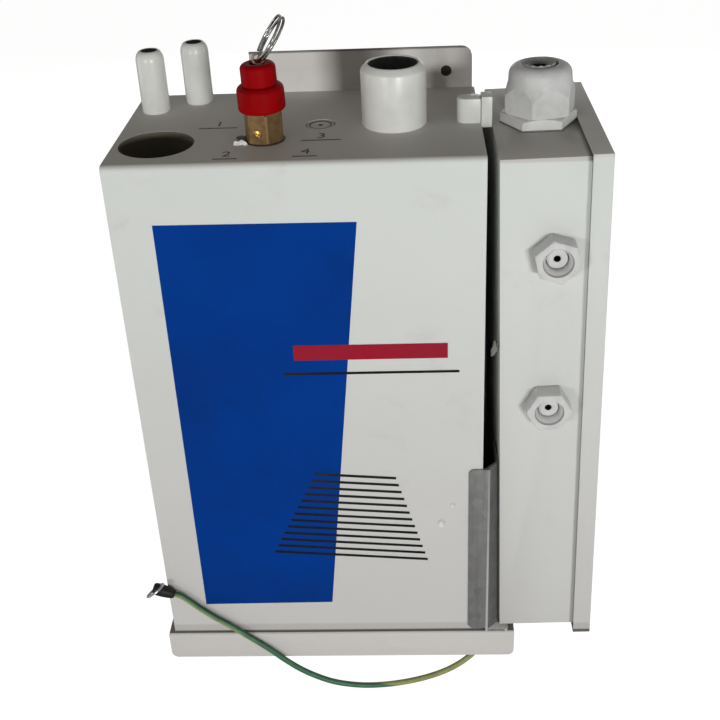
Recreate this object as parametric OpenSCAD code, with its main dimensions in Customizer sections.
// Small wall-hung electric steam generator.
// A sheet-metal boiler housing stands on the shelf of a folded wall bracket. A narrower control
// box with a pan-shaped side cover hangs beside it, leaning a little towards the housing.
// Frame: origin on the wall face of the bracket, midway between its two fixing holes,
// +X to the right, +Y into the wall, +Z up. All sizes are in millimetres.

/* [Housing] */
// Width of the boiler housing
housing_w = 185; // [160:1:225]
// Depth of the boiler housing, front to back
housing_d = 108; // [98:1:132]
// Height of the boiler housing
housing_h = 302; // [250:1:365]
// Thickness of the housing sheet
sheet_t = 1.2; // [0.8:0.1:1.6]
// Outer radius of the fold between the front and the top
fold_r = 3; // [2.2:0.2:4.5]

/* [Wall bracket] */
// Thickness of the bracket plate
plate_t = 1.5; // [1:0.1:2.5]
// How far the shelf runs past the housing on the left
shelf_left = 3.5; // [1:0.5:8]
// How far the shelf runs past the housing on the right
shelf_right = 20; // [16:0.5:26]
// How far the back plate's shoulders stay below the housing top
shoulder_drop = 6; // [4:0.5:40]
// Height of the down-turned front lip
lip_h = 18.5; // [12:0.5:30]
// Gap between the lip's plane and the housing front
lip_gap = 1; // [0.5:0.1:2]
// Radius of the lip's lower corners
lip_corner_r = 4; // [2:0.5:8]
// Width of the ear above the housing
ear_w = 123; // [121:1:150]
// How far the ear's right end stays inside the housing's right side
ear_inset = 1.2; // [0.4:0.1:3]
// Rise of the ear above the housing top
ear_rise = 23; // [19:1:40]
// Radius of the ear's upper right corner
ear_corner_r = 6; // [2:0.5:9]
// Distance between the two fixing holes
ear_hole_spacing = 100; // [60:1:100]
// Right fixing hole, centre from the ear's right end
ear_hole_edge = 14.3; // [11:0.1:16]
// Height of the fixing holes above the housing top
ear_hole_rise = 9.5; // [7:0.5:13]
// Diameter of the fixing holes
ear_hole_d = 6; // [4:0.1:8]

/* [Top fittings] */
// Diameter of the probe opening
probe_hole_d = 38; // [24:1:40]
// Probe opening, centre from the left side
probe_x = 22; // [21:1:26]
// Probe opening, centre from the front
probe_y = 29.5; // [24:0.5:36]
// Outer diameter of a water inlet tube
inlet_d = 15; // [11:0.5:17]
// Bore of a water inlet tube
inlet_bore_d = 8.6; // [5:0.2:9]
// Height of a water inlet tube above the top
inlet_h = 33.2; // [20:0.2:45]
// Front inlet, centre from the left side
front_inlet_x = 12; // [10:0.5:13]
// Front inlet, centre from the front
front_inlet_y = 82; // [76:0.5:86]
// Rear inlet, centre from the left side
rear_inlet_x = 33.4; // [30:0.2:36]
// Rear inlet, centre from the front
rear_inlet_y = 96.2; // [88:0.2:98]
// Outer diameter of the steam outlet socket
outlet_d = 33.2; // [26:0.1:40]
// Bore of the steam outlet socket
outlet_bore_d = 25.2; // [18:0.2:27]
// Height of the steam outlet socket above the top
outlet_h = 31.6; // [20:0.1:44]
// Depth of the steam outlet socket's wide bore
outlet_bore_depth = 18; // [12:1:20]
// Steam outlet, centre from the left side
outlet_x = 141; // [126:0.2:158]
// Steam outlet, centre from the front
outlet_y = 52.4; // [44:0.2:66]
// Diameter of the blanking disc
disc_d = 15; // [10:0.5:20]
// Blanking disc, centre from the left side
disc_x = 102.9; // [98:0.1:108]
// Blanking disc, centre from the front
disc_y = 52.6; // [46:0.2:60]

/* [Safety valve] */
// Size of the brass hexagon across its flats
valve_af = 17.6; // [15:0.1:22]
// Height of the brass hexagon
valve_hex_h = 15.8; // [9:0.2:20]
// Diameter of the lower, adjusting part of the cap
adjuster_d = 23.5; // [20:0.1:29]
// Height of the lower part of the cap
adjuster_h = 12.8; // [10:0.2:20]
// Diameter of the upper part of the cap
cap_d = 17.6; // [15.6:0.2:18.4]
// Height of the upper part of the cap
cap_h = 10.8; // [10:0.2:15]
// Diameter of the valve stem
stem_d = 3; // [2.4:0.1:3.4]
// Outside diameter of the eye on the stem
eye_d = 6.8; // [6.4:0.1:7.4]
// Diameter of the hole in the eye
eye_hole_d = 4.2; // [4:0.1:4.6]
// Outside diameter of the pull ring
ring_d = 26; // [20:0.5:34]
// Radial thickness of the pull ring
ring_radial = 1.8; // [1.4:0.1:2]
// Thickness of the pull ring along its axis, two turns of wire
ring_axial = 2.8; // [2:0.1:3]
// Lean of the pull ring to the right at rest, degrees
ring_lean = 32; // [0:1:50]
// Turn of the pull ring's hinge line about the vertical, degrees
ring_turn = -8; // [-20:1:20]
// Valve, centre from the left side
valve_x = 76.3; // [66:0.1:86]
// Valve, centre from the front
valve_y = 32.4; // [28:0.2:40]

/* [Control box] */
// Width of the control box up to its open right edge
control_w = 52.3; // [43:0.1:62]
// Height of the control box
control_h = 296.2; // [247:0.2:355]
// Lean of the control box towards the housing, degrees
control_lean = 1.09; // [0.6:0.01:1.2]
// Gap between the housing and the lower end of the control box
control_gap = 11.4; // [10.6:0.2:15]
// Height of the control box's lower left corner above the shelf
control_rise = 4.3; // [3:0.1:8]
// Depth of the side cover's flanges
cover_flange = 10; // [6:0.1:14]
// How far the cover hangs below the control box
cover_drop = 6.8; // [2:0.2:10]
// Clearance between the cover and the control box
cover_gap = 0.2; // [0.1:0.05:0.5]
// Thickness of the cover sheet
cover_t = 1; // [0.8:0.1:1.2]

/* [Cable gland] */
// Gland body hexagon across its flats
gland_af = 33.8; // [30:0.2:34]
// Thickness of the gland body hexagon
gland_hex_t = 6; // [4:0.5:9]
// Dome nut hexagon across its flats
dome_af = 32.6; // [27:0.2:34]
// Height of the dome nut's hexagon
dome_hex_h = 11; // [8:0.5:14]
// Height of the whole gland above the control box
gland_h = 30; // [27:0.5:38]
// Diameter of the cable hole
cable_hole_d = 9; // [5:0.5:10]
// Gland, centre from the control box's left side
gland_x = 23.7; // [21:0.1:24]
// Gland, centre from the front
gland_y = 52.5; // [42:0.5:62]

/* [Panel nuts] */
// Upper nut across its flats
upper_nut_af = 21; // [18.5:0.5:25]
// Lower nut across its flats
lower_nut_af = 21; // [18.5:0.5:25]
// Thickness of the panel nuts
nut_t = 10.5; // [8:0.5:13]
// Width of the flared mouth in a nut's front
nut_mouth_d = 15.2; // [13.4:0.1:17]
// Depth of the flared mouth, down to the bush
nut_mouth_depth = 5.5; // [3:0.5:7]
// Diameter of the bush in a panel nut
bush_d = 10.8; // [9:0.1:12.8]
// Bore of the bush
bush_bore_d = 3.5; // [2:0.1:5]
// Upper nut, centre from the control box's left side
upper_nut_x = 27.4; // [19:0.1:28]
// Height of the upper nut above the control box's bottom
upper_nut_z = 245.6; // [210:0.2:280]
// Lower nut, centre from the control box's left side
lower_nut_x = 24.9; // [19:0.1:28]
// Height of the lower nut above the control box's bottom
lower_nut_z = 158.6; // [120:0.2:190]

/* [Gap fittings] */
// Width of the side bracket's front flange
side_flange_w = 11.6; // [9:0.2:16]
// Height of the side bracket
side_bracket_h = 118; // [80:1:150]
// Length of the wiring cap on the housing top
bridge_len = 12.2; // [8:0.1:14]
// Height of the wiring cap
bridge_h = 13; // [9:0.5:18]
// Depth of the wiring cap
bridge_d = 9; // [6:0.5:12]
// Front of the wiring cap, from the housing front
bridge_y = 47; // [40:1:60]
// Outer diameter of the earth lead
lead_d = 3.4; // [3.2:0.1:3.6]

/* [Hidden] */
$fn = 64;

eps = 0.01;
over = 1;            // how far a cut runs past the face it opens
fit = 0.2;           // clearance round a part that passes through a hole

// Places in the row frame
ear_right_x = ear_hole_spacing / 2 + ear_hole_edge;
housing_x = ear_right_x + ear_inset - housing_w;   // left side of the housing
front_y = -(plate_t + housing_d);              // housing front
shelf_z = -(housing_h + ear_hole_rise);        // top of the shelf

// Boiler tank inside the housing
tank_wall = 1.5;
tank_side = 4;                                 // space between the tank and the housing
tank_drop = 30;                                // space between the tank and the housing top
tank_top = housing_h - tank_drop;
tank_corner_r = 6;

neck_d = 12.6;                                 // thread of the valve
inlet_neck_d = 11.6;
inlet_shoulder_h = 5.5;
inlet_lip = 0.3;                               // flat rim round the bore
shoulder_steps = 6;
outlet_neck_d = 22;
outlet_neck_bore_d = 15;

// Safety valve's set screw
screw_d = 2.2;
screw_depth = 2.6;
screw_head_d = 4.2;
screw_head_h = 1.2;
screw_z = 6;                                   // above the housing top
valve_hex_turn = 16;

// Red cap's inside
adjuster_rim = 2.8;
cap_rim = 2.6;
dish_space = 0.4;                              // round the eye
dish_d = eye_d + 2 * dish_space;
dish_h = 2.6;
cap_web = 2.4;                                 // between the dish and the foot's chamber

// Valve stem and ring
valve_top = valve_hex_h + adjuster_h + cap_h;  // top of the red cap above the housing
stem_travel = 2.5;
stem_spare = 0.5;                              // room above the foot at full lift
eye_overlap = 0.7;                             // how far the stem runs into the eye
eye_rise = 1.5;                                // the eye's centre above the cap
eye_z = valve_top + eye_rise;
eye_t = 1.2;
cap_bore_d = stem_d + 0.8;
stem_foot_d = 6;
stem_foot_h = 2;
ring_mid_r = (ring_d - ring_radial) / 2;

// Control box
gland_thread_d = 24.6;
gland_thread_h = 10;                           // below the box's top
gland_bore_d = 15;
body_rim = 2;                                  // the body's end below the dome nut's hexagon
dome_r = 5;
dome_step = 0.3;                               // the dome inside the hexagon's flats
dome_taper = 0.4;                              // narrowing of the dome up to its shoulder
seal_d = 15.6;
seal_flange_t = 1.8;
seal_sink = 0.6;                               // the seal's end inside the dome's mouth
locknut_af = 31;
locknut_t = 5;
seal_z = gland_hex_t + dome_hex_h - body_rim;  // top of the gland body
flange_d = bush_d + 6;                         // bush's flange behind the panel
flange_t = 3;
upper_nut_turn = 11;
lower_nut_turn = 30;
dome_nut_turn = -17;

// Fittings in the gap
seat = 0.3;                                    // clearance to the leaning control box
spacer_sink = 2;                               // how far the spacer runs down into the gap
spacer_margin = 1;
spacer_cut = 1.5;
side_fold_out = 4;                             // the side bracket's fold, right of the housing
side_corner_r = 3;
side_bevel = 2.5;
side_web = 6;                                  // depth of the slanted web
side_tab = 20;                                 // depth of the rear tab
side_lift = 2;                                 // the front flange above the shelf
side_foot_out = 5;                             // how far the foot runs in under the control box
side_foot_r = 2;

// Grommet and free route of the earth lead, from the housing's front left foot
grommet = [189, 12.5];
grommet_d = 7.4;
grommet_flange_d = 9;
grommet_flange_t = 1.4;
lead_points = [
    [189, 12.5, -0.5], [189, 12.5, -3.6], [188.8, 12.1, -7.4], [188, 10.8, -11.8],
    [186.3, 8.6, -16.6],
    [183.4, 6, -22.2], [177.5, 4.2, -28], [170, 2.6, -33], [161, 1.2, -37.2],
    [150, 0, -40.6], [138.7, -0.8, -43], [127, -1.6, -44.2], [115, -2.4, -44],
    [104, -3.2, -42], [93.6, -4, -38.4], [83.6, -4.6, -32.8], [74.6, -4.9, -26.4],
    [66, -5, -18.6], [57, -4.9, -9.6], [46, -4.6, -0.2], [35, -4, 8.8],
    [26.3, -3.8, 15.4], [18.6, -3.8, 22.4], [12.4, -4, 29], [8.2, -4.3, 33.2], [3.4, -4.5, 35.4]];
lead_sides = 8;
lead_step = 1;                                 // rings between two points of the route

sleeve_d = 7;
sleeve_l = 7;
sleeve_gap = 0.15;                             // between the lead's end and the sleeve
sleeve_turn = 22;                              // the sleeve's rise to the left, degrees
tongue_t = 1;
tongue_d = 13;
tongue_hole_d = 6.4;
tongue_neck_d = 3.4;
tongue_tilt = 32;                              // the tongue's lean back over the sleeve, degrees
tongue_offset = 4.4;                           // from the sleeve's middle to the tongue's hole
tongue_roll = 55;                              // the hole's turn to the front, degrees

// ---------------------------------------------------------------- frames and helpers

// Moves a part from the housing's front left foot to its place
module at_housing() {
    translate([housing_x, front_y, shelf_z]) children();
}

// Moves a part from the housing's top, above its front left corner
module at_top(x, y) {
    at_housing() translate([x, y, housing_h]) children();
}

// Moves a part from the control box's own lower left front corner, with its lean
module at_control() {
    at_housing() translate([housing_w + control_gap, 0, control_rise])
        rotate([0, -control_lean, 0]) children();
}

// Hexagonal prism with its flats on the X sides
module hex_prism(af, h) {
    rotate([0, 0, 30]) cylinder(r = af / sqrt(3), h = h, $fn = 6);
}

// Hexagonal prism with its rim chamfered at the top
module hex_nut(af, h) {
    intersection() {
        hex_prism(af, h);
        union() {
            cylinder(r = af / sqrt(3) + eps, h = h - af / 24);
            translate([0, 0, h - af / 24])
                cylinder(r1 = af / sqrt(3) + eps, r2 = af / 2, h = af / 24);
        }
    }
}

// Flat rectangle with its corner at the upper right rounded
module corner_rect(w, h, r) {
    square([w, h - r]);
    square([w - r, h]);
    translate([w - r, h - r]) circle(r);
}

// Outline of a turned part: straight tube with a rounded outer rim
module rim_profile(r_in, r_out, h, rim) {
    translate([r_in, 0]) square([r_out - r_in, h - rim]);
    translate([r_in, 0]) square([r_out - rim - r_in, h]);
    translate([r_out - rim, h - rim]) circle(rim);
}

// ---------------------------------------------------------------- wall bracket

// Folded plate: back plate with its ear, shelf and down-turned lip
module wall_bracket() {
    bracket_w = shelf_left + housing_w + shelf_right;
    lip_y = -(lip_gap + plate_t);
    color("gainsboro") difference() {
        union() {
            at_housing() translate([-shelf_left, housing_d + plate_t, -plate_t])
                rotate([90, 0, 0]) linear_extrude(plate_t)
                    square([bracket_w, plate_t + housing_h - shoulder_drop]);
            at_housing() translate([housing_w - ear_inset - ear_w, housing_d + plate_t, 0])
                rotate([90, 0, 0]) linear_extrude(plate_t)
                    corner_rect(ear_w, housing_h + ear_rise, ear_corner_r);
            at_housing() translate([-shelf_left, lip_y + plate_t, -plate_t])
                cube([bracket_w, housing_d - lip_y, plate_t]);
            at_housing() translate([-shelf_left, 0, 0]) shelf_fold(bracket_w);
            at_housing() translate([-shelf_left, lip_y + plate_t, -plate_t])
                rotate([90, 0, 0]) linear_extrude(plate_t) lip_outline(bracket_w);
        }
        for (side = [-1, 1])
            translate([side * ear_hole_spacing / 2, over, 0])
                rotate([90, 0, 0]) cylinder(d = ear_hole_d, h = plate_t + 2 * over);
        at_housing() translate([grommet.x, grommet.y, -plate_t - over])
            cylinder(d = grommet_d + 2 * fit, h = plate_t + 2 * over);
    }
}

// Quarter-round fold between the shelf and the lip, turned about the shelf's lower edge
module shelf_fold(w) {
    translate([0, -lip_gap, -plate_t]) rotate([0, 90, 0]) intersection() {
        cylinder(r = plate_t, h = w);
        translate([-plate_t - over, -plate_t - over, -over])
            cube([plate_t + over, plate_t + over, w + 2 * over]);
    }
}

// Front view of the lip, hanging down from the shelf, its lower corners round
module lip_outline(w) {
    h = lip_h - plate_t;
    r = lip_corner_r;
    translate([0, r - h]) square([w, h - r]);
    translate([r, -h]) square([w - 2 * r, h]);
    for (x = [r, w - r]) translate([x, r - h]) circle(r);
}

// ---------------------------------------------------------------- housing panels

// Front sheet with its rounded fold at the top
module housing_front() {
    color("lightgray") at_housing() {
        cube([housing_w, sheet_t, housing_h - fold_r]);
        translate([0, fold_r, housing_h - fold_r]) rotate([0, 90, 0]) intersection() {
            difference() {
                cylinder(r = fold_r, h = housing_w);
                translate([0, 0, -over]) cylinder(r = fold_r - sheet_t, h = housing_w + 2 * over);
            }
            translate([-fold_r - over, -fold_r - over, -over])
                cube([fold_r + over, fold_r + over, housing_w + 2 * over]);
        }
    }
}

// Top sheet behind the fold, with the openings of the top fittings
module housing_top() {
    color("lightgray") at_housing() difference() {
        translate([0, fold_r, housing_h - sheet_t])
            cube([housing_w, housing_d - fold_r, sheet_t]);
        top_hole(probe_x, probe_y, probe_hole_d);
        top_hole(disc_x, disc_y, disc_d + 2 * fit);
        top_hole(front_inlet_x, front_inlet_y, inlet_neck_d + 2 * fit);
        top_hole(rear_inlet_x, rear_inlet_y, inlet_neck_d + 2 * fit);
        top_hole(outlet_x, outlet_y, outlet_neck_d + 2 * fit);
        top_hole(valve_x, valve_y, neck_d + 2 * fit);
    }
}

// Round hole through the housing top
module top_hole(x, y, d) {
    translate([x, y, housing_h - sheet_t - over]) cylinder(d = d, h = sheet_t + 2 * over);
}

// Side panel, standing between the front and the back sheets
module side_panel() {
    inner_r = fold_r - sheet_t;
    translate([0, sheet_t, 0]) rotate([90, 0, 90]) linear_extrude(sheet_t)
        translate([housing_d - 2 * sheet_t, 0]) mirror([1, 0])
            corner_rect(housing_d - 2 * sheet_t, housing_h - sheet_t, inner_r);
}

module housing_left() {
    color("lightgray") at_housing() side_panel();
}

module housing_right() {
    color("lightgray") at_housing() translate([housing_w - sheet_t, 0, 0]) side_panel();
}

module housing_back() {
    color("silver") at_housing() translate([0, housing_d - sheet_t, 0])
        cube([housing_w, sheet_t, housing_h - sheet_t]);
}

module housing_floor() {
    color("silver") at_housing() translate([sheet_t, sheet_t, 0])
        cube([housing_w - 2 * sheet_t, housing_d - 2 * sheet_t, sheet_t]);
}

// ---------------------------------------------------------------- boiler tank

// Upright box with round corners, as a flat outline
module tank_outline(inset) {
    w = housing_w - 2 * (sheet_t + tank_side) - 2 * inset;
    d = housing_d - 2 * (sheet_t + tank_side) - 2 * inset;
    r = tank_corner_r - inset;
    translate([sheet_t + tank_side + inset, sheet_t + tank_side + inset]) {
        translate([r, 0]) square([w - 2 * r, d]);
        translate([0, r]) square([w, d - 2 * r]);
        for (x = [r, w - r], y = [r, d - r]) translate([x, y]) circle(r);
    }
}

// Welded tank on the housing floor, with the ports of the top fittings
module boiler_tank() {
    color("dimgray") at_housing() difference() {
        translate([0, 0, sheet_t]) linear_extrude(tank_top - sheet_t) tank_outline(0);
        translate([0, 0, sheet_t + tank_wall])
            linear_extrude(tank_top - sheet_t - 2 * tank_wall) tank_outline(tank_wall);
        tank_port(front_inlet_x, front_inlet_y, inlet_bore_d);
        tank_port(rear_inlet_x, rear_inlet_y, inlet_bore_d);
        tank_port(outlet_x, outlet_y, outlet_neck_bore_d);
        tank_port(valve_x, valve_y, stem_foot_d);
    }
}

module tank_port(x, y, d) {
    translate([x, y, tank_top - tank_wall - over]) cylinder(d = d, h = tank_wall + 2 * over);
}

// ---------------------------------------------------------------- top fittings

// Disc left in its stamped hole in the top
module blanking_disc() {
    color("gray") at_top(disc_x, disc_y) translate([0, 0, -sheet_t])
        cylinder(d = disc_d, h = sheet_t);
}

// Water inlet tube with a long rounded shoulder, its neck running down to the tank
module inlet_tube() {
    r_bore = inlet_bore_d / 2;
    r_tip = r_bore + inlet_lip;
    shoulder = inlet_d / 2 - r_tip;
    color("whitesmoke") rotate_extrude() polygon(concat(
        [[r_bore, inlet_h], [r_bore, -tank_drop], [inlet_neck_d / 2, -tank_drop],
            [inlet_neck_d / 2, 0], [inlet_d / 2, 0]],
        [for (i = [0 : shoulder_steps]) let (a = 90 * i / shoulder_steps)
            [r_tip + shoulder * cos(a), inlet_h - inlet_shoulder_h * (1 - sin(a))]]));
}

module inlet_front() {
    at_top(front_inlet_x, front_inlet_y) inlet_tube();
}

module inlet_rear() {
    at_top(rear_inlet_x, rear_inlet_y) inlet_tube();
}

// Steam outlet socket: wide bore with a bevelled rim over a narrower neck
module steam_outlet() {
    r = outlet_d / 2;
    r_bore = outlet_bore_d / 2;
    bevel = 3;
    color("white") at_top(outlet_x, outlet_y) rotate_extrude() polygon([
        [outlet_neck_bore_d / 2, -tank_drop], [outlet_neck_d / 2, -tank_drop],
        [outlet_neck_d / 2, 0], [r, 0], [r, outlet_h - bevel], [r - bevel, outlet_h],
        [r_bore, outlet_h], [r_bore, outlet_h - outlet_bore_depth],
        [outlet_neck_bore_d / 2, outlet_h - outlet_bore_depth]]);
}

// ---------------------------------------------------------------- safety valve

// Brass body: neck down to the tank, hexagon and the bore that the stem slides in
module valve_body() {
    color("darkgoldenrod") at_top(valve_x, valve_y) difference() {
        union() {
            translate([0, 0, -tank_drop]) cylinder(d = neck_d, h = tank_drop + eps);
            rotate([0, 0, valve_hex_turn]) hex_prism(valve_af, valve_hex_h);
        }
        translate([0, 0, -tank_drop - over])
            cylinder(d = stem_foot_d + 2 * fit, h = tank_drop + valve_hex_h + 2 * over);
        set_screw_place() translate([0, 0, -screw_depth - fit])
            cylinder(d = screw_d + 2 * fit, h = screw_depth + fit + over);
    }
}

// The front left flat of the hexagon, at the set screw's place
module set_screw_place() {
    rotate([0, 0, valve_hex_turn - 120]) translate([valve_af / 2, 0, screw_z])
        rotate([0, 90, 0]) children();
}

module valve_set_screw() {
    color("gold") at_top(valve_x, valve_y) set_screw_place() {
        translate([0, 0, -screw_depth]) cylinder(d = screw_d, h = screw_depth + eps);
        cylinder(d = screw_head_d, h = screw_head_h);
    }
}

// Lower, adjusting part of the red cap
module valve_adjuster() {
    color("firebrick") at_top(valve_x, valve_y) translate([0, 0, valve_hex_h])
        rotate_extrude()
            rim_profile(stem_foot_d / 2 + fit, adjuster_d / 2, adjuster_h, adjuster_rim);
}

// Upper part of the red cap, dished round the stem
module valve_cap() {
    color("firebrick") at_top(valve_x, valve_y)
        translate([0, 0, valve_hex_h + adjuster_h]) difference() {
            rotate_extrude() rim_profile(cap_bore_d / 2, cap_d / 2, cap_h, cap_rim);
            translate([0, 0, cap_h - dish_h]) cylinder(d = dish_d, h = dish_h + over);
            translate([0, 0, -over])
                cylinder(d = stem_foot_d + 2 * fit, h = cap_h - dish_h - cap_web + over);
        }
}

// Stem with its foot inside the cap and its eye above it
module valve_stem() {
    foot_z = valve_top - dish_h - cap_web - stem_travel - stem_foot_h - stem_spare;
    color("goldenrod") at_top(valve_x, valve_y) {
        difference() {
            union() {
                translate([0, 0, foot_z]) cylinder(d = stem_foot_d, h = stem_foot_h);
                translate([0, 0, foot_z])
                    cylinder(d = stem_d, h = eye_z - eye_d / 2 - foot_z + eye_overlap);
                eye_place() translate([0, 0, -eye_t / 2]) cylinder(d = eye_d, h = eye_t);
            }
            eye_place() translate([0, 0, -eye_t]) cylinder(d = eye_hole_d, h = 2 * eye_t);
        }
    }
}

// The eye's centre, with Z along the hinge line of the ring
module eye_place() {
    translate([0, 0, eye_z]) rotate([0, 0, -ring_turn]) rotate([-90, 0, 0]) children();
}

// Pull ring threaded through the eye, leaning to the right
module valve_ring() {
    color("silver") at_top(valve_x, valve_y) translate([0, 0, eye_z])
        rotate([0, 0, -ring_turn]) rotate([0, ring_lean, 0])
            translate([0, 0, ring_mid_r]) rotate([0, 90, 0]) rotate_extrude()
                translate([ring_mid_r, 0]) ring_section();
}

// Section through the ring: as thick as two turns of wire, with round inner and outer edges
module ring_section() {
    r = ring_radial / 2;
    for (side = [-1, 1]) translate([0, side * (ring_axial / 2 - r)]) circle(r);
    translate([-r, r - ring_axial / 2]) square([2 * r, ring_axial - 2 * r]);
}

// ---------------------------------------------------------------- control box

// Tray of folded sheet, open on its right side
module control_box() {
    color("lightgray") at_control() difference() {
        cube([control_w, housing_d, control_h]);
        translate([sheet_t, sheet_t, sheet_t])
            cube([control_w, housing_d - 2 * sheet_t, control_h - 2 * sheet_t]);
        translate([gland_x, gland_y, control_h - sheet_t - over])
            cylinder(d = gland_thread_d + 2 * fit, h = sheet_t + 2 * over);
        panel_place(upper_nut_x, upper_nut_z) panel_hole();
        panel_place(lower_nut_x, lower_nut_z) panel_hole();
    }
}

// Pan-shaped cover that closes the right side
module control_cover() {
    x_in = control_w + cover_gap;
    x_out = x_in + cover_t;
    side = cover_gap + cover_t;
    color("lightgray") at_control() difference() {
        translate([x_out - cover_flange, -side, -cover_drop])
            cube([cover_flange, housing_d + 2 * side, control_h + cover_drop + side]);
        translate([x_out - cover_flange - over, -cover_gap, -cover_drop + cover_t])
            cube([cover_flange - cover_t + over, housing_d + 2 * cover_gap,
                control_h + cover_drop - cover_t + cover_gap]);
    }
}

// ---------------------------------------------------------------- cable gland

module at_gland() {
    at_control() translate([gland_x, gland_y, control_h]) children();
}

// Gland body: hexagon on the box, thread down through it and up into the dome nut
module gland_body() {
    color("ivory") at_gland() difference() {
        union() {
            rotate([0, 0, 30]) hex_nut(gland_af, gland_hex_t);
            translate([0, 0, -gland_thread_h])
                cylinder(d = gland_thread_d, h = gland_thread_h + eps);
            cylinder(d = gland_thread_d, h = seal_z);
        }
        translate([0, 0, -gland_thread_h - over])
            cylinder(d = gland_bore_d, h = gland_thread_h + seal_z + 2 * over);
    }
}

// Nut that holds the gland from inside the box
module gland_locknut() {
    color("ivory") at_gland() translate([0, 0, -sheet_t - locknut_t]) difference() {
        hex_prism(locknut_af, locknut_t);
        translate([0, 0, -over]) cylinder(d = gland_thread_d + 2 * fit, h = locknut_t + 2 * over);
    }
}

// Dome nut: hexagon below, dome above with the opening for the seal
module gland_nut() {
    dome_h = gland_h - gland_hex_t - dome_hex_h;
    dome_foot_r = dome_af / 2 - dome_step;
    dome_top_r = dome_foot_r - dome_taper;
    color("ivory") at_gland() translate([0, 0, gland_hex_t]) difference() {
        union() {
            rotate([0, 0, dome_nut_turn]) hex_nut(dome_af, dome_hex_h);
            translate([0, 0, dome_hex_h - eps])
                cylinder(r1 = dome_foot_r, r2 = dome_top_r, h = dome_h - dome_r + eps);
            translate([0, 0, dome_hex_h + dome_h - dome_r]) rotate_extrude() {
                square([dome_top_r - dome_r, dome_r]);
                translate([dome_top_r - dome_r, 0]) intersection() {
                    circle(dome_r);
                    square(dome_r);
                }
            }
        }
        translate([0, 0, -over]) cylinder(d = gland_thread_d + 2 * fit, h = dome_hex_h + over);
        cylinder(d = seal_d + 2 * fit, h = gland_h);
    }
}

// Rubber seal with the cable hole, held between the body and the dome
module gland_seal() {
    color("dimgray") at_gland() difference() {
        translate([0, 0, seal_z]) {
            cylinder(d = seal_d, h = gland_h - seal_z - seal_sink);
            cylinder(d = gland_thread_d, h = seal_flange_t);
        }
        translate([0, 0, seal_z - over]) cylinder(d = cable_hole_d, h = gland_h);
    }
}

// ---------------------------------------------------------------- panel nuts

// A place on the control box front, with Z pointing out of it
module panel_place(x, z) {
    translate([x, 0, z]) rotate([90, 0, 0]) children();
}

// Hole for a bush in the control box front
module panel_hole() {
    translate([0, 0, -sheet_t - over]) cylinder(d = bush_d + 2 * fit, h = sheet_t + 2 * over);
}

// Thick nut with a flared mouth in its front
module panel_nut(af) {
    hole_d = bush_d + 2 * fit;
    difference() {
        hex_nut(af, nut_t);
        translate([0, 0, -over]) cylinder(d = hole_d, h = nut_t + 2 * over);
        translate([0, 0, nut_t - nut_mouth_depth])
            cylinder(d1 = hole_d, d2 = nut_mouth_d, h = nut_mouth_depth + eps);
    }
}

// Bush through the panel: a flange behind it and the bored end in front
module panel_bush() {
    back = -sheet_t - flange_t;
    front = nut_t - nut_mouth_depth;
    difference() {
        union() {
            translate([0, 0, back]) cylinder(d = flange_d, h = flange_t);
            translate([0, 0, -sheet_t - eps]) cylinder(d = bush_d, h = front + sheet_t + eps);
        }
        translate([0, 0, back - over]) cylinder(d = bush_bore_d, h = front - back + 2 * over);
    }
}

module upper_panel_nut() {
    color("ivory") at_control() panel_place(upper_nut_x, upper_nut_z) rotate([0, 0, upper_nut_turn])
        panel_nut(upper_nut_af);
}

module lower_panel_nut() {
    color("ivory") at_control() panel_place(lower_nut_x, lower_nut_z) rotate([0, 0, lower_nut_turn])
        panel_nut(lower_nut_af);
}

module upper_panel_bush() {
    color("ivory") at_control() panel_place(upper_nut_x, upper_nut_z) panel_bush();
}

module lower_panel_bush() {
    color("ivory") at_control() panel_place(lower_nut_x, lower_nut_z) panel_bush();
}

// ---------------------------------------------------------------- gap fittings

// Gap between the housing and the control box at a height above the shelf
function gap_at(z) = control_gap - (z - control_rise) * tan(control_lean);

// Wiring cap on the housing top, its left end round
module bridge_cap() {
    r = bridge_d / 2;
    color("white") at_top(housing_w - bridge_len, bridge_y) {
        translate([r, r, 0]) cylinder(r = r, h = bridge_h);
        translate([r, 0, 0]) cube([bridge_len - r - fit, bridge_d, bridge_h]);
    }
}

// Spacer that closes the gap beside the wiring cap, its upper rear edge cut off
module bridge_spacer() {
    d = bridge_d + spacer_margin;
    h = spacer_sink + bridge_h + spacer_margin;
    spacer_top = min(housing_h + bridge_h + spacer_margin, control_rise + control_h);
    color("white") at_top(housing_w, bridge_y - spacer_margin / 2)
        translate([0, 0, -spacer_sink]) difference() {
            cube([gap_at(spacer_top) - seat, d, h]);
            translate([-over, d, h]) rotate([45, 0, 0])
                translate([0, -spacer_cut, -spacer_cut / 2])
                    cube([gap_at(0) + 2 * over, 2 * spacer_cut, spacer_cut]);
        }
}

// Folded side bracket in the lower end of the gap: front flange, slanted web, rear tab and foot.
// The web and the tab lean with the control box.
module side_bracket() {
    t = sheet_t;
    fold_x = housing_w + side_fold_out;
    tab_x = housing_w + gap_at(0) - seat;
    web_x = fold_x - tab_x;
    top_z = side_lift + side_bracket_h;
    color("darkgray") at_housing() {
        translate([fold_x - side_flange_w, 0, side_lift]) rotate([90, 0, 0]) linear_extrude(t)
            side_flange();
        translate([tab_x, 0, fit]) rotate([0, -control_lean, 0]) {
            linear_extrude(top_z - fit) polygon([[web_x - t, 0], [web_x - t, -t],
                [web_x, -t], [0, side_web], [-t, side_web + t / 2]]);
            translate([-t, side_web, side_lift]) cube([t, side_tab, side_bracket_h - fit]);
        }
        side_foot(fold_x - t, housing_w + gap_at(0) + side_foot_out);
    }
}

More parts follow.
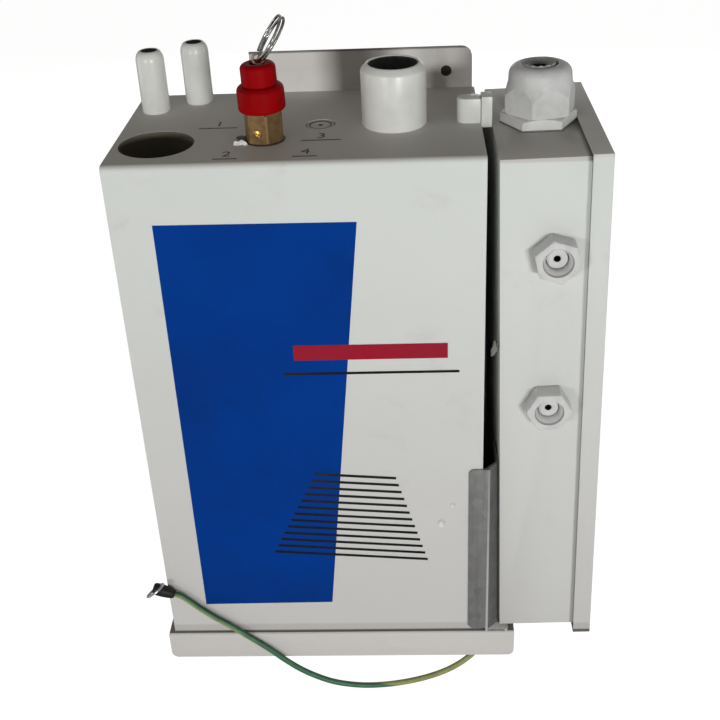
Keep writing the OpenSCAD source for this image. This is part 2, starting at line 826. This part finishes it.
// Front flange of the side bracket: round upper left corner, bevelled lower left corner
module side_flange() {
    difference() {
        translate([side_flange_w, 0]) mirror([1, 0])
            corner_rect(side_flange_w, side_bracket_h, side_corner_r);
        rotate(45) square(side_bevel * sqrt(2), center = true);
    }
}

// Foot of the side bracket, lying on the shelf under the control box
module side_foot(x0, x1) {
    r = side_foot_r;
    linear_extrude(sheet_t) {
        translate([x0, -sheet_t]) square([x1 - r - x0, side_web]);
        translate([x0, r - sheet_t]) square([x1 - x0, side_web - r]);
        translate([x1 - r, r - sheet_t]) circle(r);
    }
}

// ---------------------------------------------------------------- earth lead

// Grommet in the shelf that the lead hangs from
module lead_grommet() {
    color("black") at_housing() translate([grommet.x, grommet.y, 0]) difference() {
        union() {
            translate([0, 0, -plate_t - grommet_flange_t])
                cylinder(d = grommet_flange_d, h = grommet_flange_t);
            translate([0, 0, -plate_t - eps]) cylinder(d = grommet_d, h = plate_t + eps);
        }
        translate([0, 0, -plate_t - grommet_flange_t - over])
            cylinder(d = lead_d + 2 * fit, h = plate_t + grommet_flange_t + 2 * over);
    }
}

// Point at s along the smooth route through p, s counted in points
function route(p, s) = let (
    n = len(p) - 1,
    i = min(floor(s), n - 1),
    f = s - i,
    a = p[max(i - 1, 0)], b = p[i], c = p[i + 1], d = p[min(i + 2, n)])
    0.5 * (2 * b + (c - a) * f + (2 * a - 5 * b + 4 * c - d) * f * f
        + (3 * b - a - 3 * c + d) * f * f * f);

function unit(v) = v / norm(v);

// Ring of points round the route at s
function ring_at(p, s, r, sides) = let (
    t = unit(route(p, min(s + 0.05, len(p) - 1)) - route(p, max(s - 0.05, 0))),
    across = unit(cross(t, [0, 1, 0])),
    up = cross(across, t),
    at = route(p, s))
    [for (k = [0 : sides - 1]) at + r * (cos(360 * k / sides) * across
        + sin(360 * k / sides) * up)];

// Tube of the given radius along the route
module tube(p, r, sides, step) {
    rings = (len(p) - 1) * step;
    points = [for (j = [0 : rings]) each ring_at(p, j / step, r, sides)];
    walls = [for (j = [0 : rings - 1], k = [0 : sides - 1])
        [j * sides + k, j * sides + (k + 1) % sides,
         (j + 1) * sides + (k + 1) % sides, (j + 1) * sides + k]];
    first = [for (k = [sides - 1 : -1 : 0]) k];
    last = [for (k = [0 : sides - 1]) rings * sides + k];
    polyhedron(points, concat([first], walls, [last]));
}

module earth_lead() {
    color("green") at_housing() tube(lead_points, lead_d / 2, lead_sides, lead_step);
}

// The lead's end, with X running to the left at the given rise and Y to the back
module at_lead_end(rise) {
    at_housing() translate(lead_points[len(lead_points) - 1])
        rotate([0, 180 + rise, 0]) mirror([0, 0, 1]) children();
}

// Insulated crimp sleeve
module lead_sleeve() {
    color("black") at_lead_end(sleeve_turn) translate([sleeve_gap, 0, 0])
        rotate([0, 90, 0]) cylinder(d = sleeve_d, h = sleeve_l);
}

// Tinned ring tongue, bent upright on a short neck at the sleeve's end
module lead_tongue() {
    neck_l = sleeve_d / 2 * tan(tongue_tilt) + tongue_t;
    color("silver") at_lead_end(sleeve_turn) translate([sleeve_gap + sleeve_l, 0, 0]) {
        rotate([0, 90, 0]) cylinder(d = tongue_neck_d, h = neck_l);
        translate([neck_l, 0, 0]) rotate([0, -tongue_tilt, 0])
            rotate([tongue_roll, 0, 0]) translate([0, 0, tongue_offset]) rotate([0, 90, 0])
                translate([0, 0, -tongue_t / 2]) difference() {
                    cylinder(d = tongue_d, h = tongue_t);
                    translate([0, 0, -over]) cylinder(d = tongue_hole_d, h = tongue_t + 2 * over);
                }
    }
}

wall_bracket();
housing_front();
housing_top();
housing_left();
housing_right();
housing_back();
housing_floor();
boiler_tank();
blanking_disc();
inlet_front();
inlet_rear();
steam_outlet();
valve_body();
valve_set_screw();
valve_adjuster();
valve_cap();
valve_stem();
valve_ring();
control_box();
control_cover();
gland_body();
gland_locknut();
gland_nut();
gland_seal();
upper_panel_nut();
upper_panel_bush();
lower_panel_nut();
lower_panel_bush();
bridge_cap();
bridge_spacer();
side_bracket();
lead_grommet();
earth_lead();
lead_sleeve();
lead_tongue();
